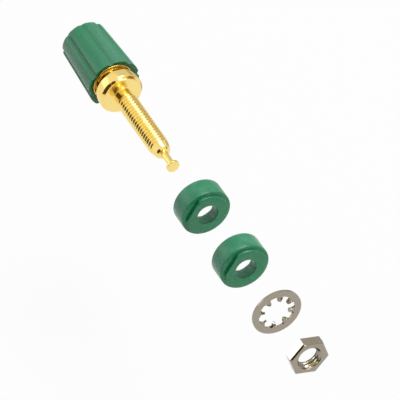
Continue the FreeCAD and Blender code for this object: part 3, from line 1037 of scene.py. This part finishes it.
def glow_material(name, strength, tint, width, height, soft):
    """A card's own tone, which passes into the white surroundings over a share of its size at its edges."""
    material = bpy.data.materials.new(name)
    wiring = emptied(material)
    parts = wiring.add("ShaderNodeSeparateXYZ", {0: wiring.object_place()}).outputs
    across = wiring.times(wiring.math("ABSOLUTE", parts["X"]), 2 / width)
    up = wiring.times(wiring.math("ABSOLUTE", parts["Y"]), 2 / height)
    held = wiring.ramp(wiring.most(across, up), 1 - soft, 1.0, 1.0, 0.0, smooth=True)
    tone = wiring.mixed(held, opaque(WHITE), opaque([channel * strength for channel in tint]))
    glow = wiring.add("ShaderNodeEmission", {"Color": tone, "Strength": 1.0})
    wiring.add("ShaderNodeOutputMaterial", {"Surface": glow.outputs[0]})
    return material


# The lamps: name, side, and the way to it. Their powers are among the stage's sizes.
LAMPS = (
    ("top", 0.2, (-0.3, -0.24, 1)),
    ("front", 0.15, (-0.4, 0.85, 0.34)),
)
# The dark room beside the camera, and the windows and walls that shiny surfaces show: name, the node that
# it is for, distance, way to it, width, height, strength, tint, softness of its edges, and whether it also
# keeps light away.
CARDS = (
    ("room", "post", 1, (0.73, 0.63, 0.24), 1.0, 1.02, 0.09, WARM, 0.05, True),
    ("room_corner", "post", 1, (0.29, 0.76, 0.59), 0.32, 0.3, 0.09, WARM, 0.15, False),
    ("table_end", "post", 0.073, (35, 61, -20), 0.022, 0.018, 0.09, WARM, 0.15, False),
    ("table_side", "post", 0.055, (-40, -28, -22), 0.06, 0.04, 0.5, WHITE, 0.4, False),
    ("lit_wall", "post", 1, (0.13, 0.95, 0.24), 0.6, 0.5, 1.1, (1, 0.9, 0.22), 0.5, False),
    ("near_wall", "post", 0.9, (-0.84, 0.55, -0.12), 0.5, 0.36, 0.5, WHITE, 0.4, False),
    ("far_wall", "post", 1, (-0.84, 0.45, 0.33), 0.95, 0.85, 0.35, WARM, 0.8, False),
    ("side_wall", "post", 1, (-0.75, -0.65, 0), 1.0, 0.6, 0.5, WHITE, 0.3, False),
    ("back_wall", "post", 1, (-0.5, -0.67, 0.5), 1.1, 0.8, 0.8, WHITE, 0.3, False),
    ("window", "post", 1, (0.65, -0.66, 0.38), 0.5, 0.65, 1.7, WHITE, 0.7, False),
    ("tip_card", "post", 1, (-0.2, 0.68, 0.7), 0.26, 0.2, 6.0, WHITE, 0.5, False),
    ("nut_window", "hex_nut", 0.0167, (0.725, -0.569, 0.389), 0.0105, 0.0105, 5.0, WHITE, 0.3, False),
)


class BINDINGPOST_OT_stage(bpy.types.Operator):
    """Set up the camera, the lamps, the pale floor, the white surroundings and what shiny surfaces mirror"""

    bl_idname = "binding_post.stage"
    bl_label = "Stage"

    def execute(self, context):
        sizes = context.scene.binding_post.stage
        scene = context.scene
        scene.view_settings.view_transform = "Standard"
        turned = view_turn(sizes.azimuth, sizes.elevation)
        # What lies in the middle of the picture.
        target = Vector((-7.71, 18.96, -15.13)) * MM
        lens = bpy.data.cameras.new("camera")
        lens.sensor_width = 36.0
        lens.lens = lens.sensor_width * sizes.distance / sizes.width
        lens.clip_end = sizes.distance * 20
        camera = add_stage_object("camera", lens, target + turned.col[2] * sizes.distance, turned)
        scene.camera = camera

        world = bpy.data.worlds.new("surroundings")
        scene.world = world
        wiring = emptied(world)
        strength = white_where_seen(wiring, 1.0, sizes.ambient)
        sky = wiring.add("ShaderNodeBackground", {"Color": opaque(WHITE), "Strength": strength})
        wiring.add("ShaderNodeOutputWorld", {"Surface": sky.outputs[0]})

        floor = add_stage_object("floor", sheet_mesh("floor", sizes.floor_side, sizes.floor_side),
                                 Vector((target.x, target.y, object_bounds()[0].z - sizes.floor_drop)))
        pale = bpy.data.materials.new("pale_floor")
        wiring = emptied(pale)
        matt = wiring.add("ShaderNodeBsdfDiffuse", {"Color": opaque([sizes.floor_tone] * 3)})
        glow = wiring.add("ShaderNodeEmission", {"Color": opaque(WHITE), "Strength": 1.0})
        seen = white_where_seen(wiring, sizes.floor_white, 0.0)
        mix = wiring.add("ShaderNodeMixShader", {0: seen, 1: matt.outputs[0], 2: glow.outputs[0]})
        wiring.add("ShaderNodeOutputMaterial", {"Surface": mix.outputs[0]})
        floor.data.materials.append(pale)
        floor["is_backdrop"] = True

        # What the lamps point at.
        middle = Vector((0, 25, 0)) * MM
        for name, size, way in LAMPS:
            lamp = bpy.data.lights.new(name, "AREA")
            lamp.energy = getattr(sizes, name + "_power")
            lamp.size = size
            place = middle + Vector(way).normalized() * sizes.lamp_distance
            add_stage_object(name, lamp, place, facing(place, middle))
        for name, node, distance, way, width, height, strength, tint, soft, shades in CARDS:
            aim = sum(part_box(node), Vector()) / 2
            place = aim + Vector(way).normalized() * distance
            card = add_stage_object(name, sheet_mesh(name, width, height), place, facing(place, aim))
            card.data.materials.append(glow_material(name, strength, tint, width, height, soft))
            card.visible_camera = False
            card.visible_transmission = False
            card.visible_diffuse = card.visible_shadow = shades
            card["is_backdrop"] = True
        return {"FINISHED"}


class BINDINGPOST_PT_sidebar(bpy.types.Panel):
    """Lists the pieces and their sizes"""

    bl_idname = "BINDINGPOST_PT_sidebar"
    bl_label = "Binding Post"
    bl_space_type = "VIEW_3D"
    bl_region_type = "UI"
    bl_category = "Binding Post"

    def draw(self, context):
        settings = context.scene.binding_post
        for maker in OPERATORS:
            self.layout.operator(maker.bl_idname)
        for group in settings.__annotations__:
            box = self.layout.box()
            box.label(text=group.capitalize())
            sizes = getattr(settings, group)
            for size in sizes.__annotations__:
                box.prop(sizes, size)


OPERATORS = (
    BINDINGPOST_OT_post,
    BINDINGPOST_OT_knob_insert,
    BINDINGPOST_OT_knob_grip,
    BINDINGPOST_OT_bushings,
    BINDINGPOST_OT_lock_washer,
    BINDINGPOST_OT_hex_nut,
    BINDINGPOST_OT_stage,
)
GROUPS = (PostSizes, KnobSizes, BushingSizes, WasherSizes, NutSizes, Finishes, StageSizes,
          BindingPostSettings)


def register():
    """Registers the settings, the operators and the panel."""
    for made in GROUPS + OPERATORS + (BINDINGPOST_PT_sidebar,):
        bpy.utils.register_class(made)
    bpy.types.Scene.binding_post = PointerProperty(type=BindingPostSettings)


def unregister():
    """Takes them away again."""
    del bpy.types.Scene.binding_post
    for made in reversed(GROUPS + OPERATORS + (BINDINGPOST_PT_sidebar,)):
        bpy.utils.unregister_class(made)


def main():
    """Registers the settings and makes every piece and the stage."""
    register()
    for maker in OPERATORS:
        getattr(bpy.ops.binding_post, maker.bl_idname.split(".")[1])()


if __name__ == "__main__":
    main()
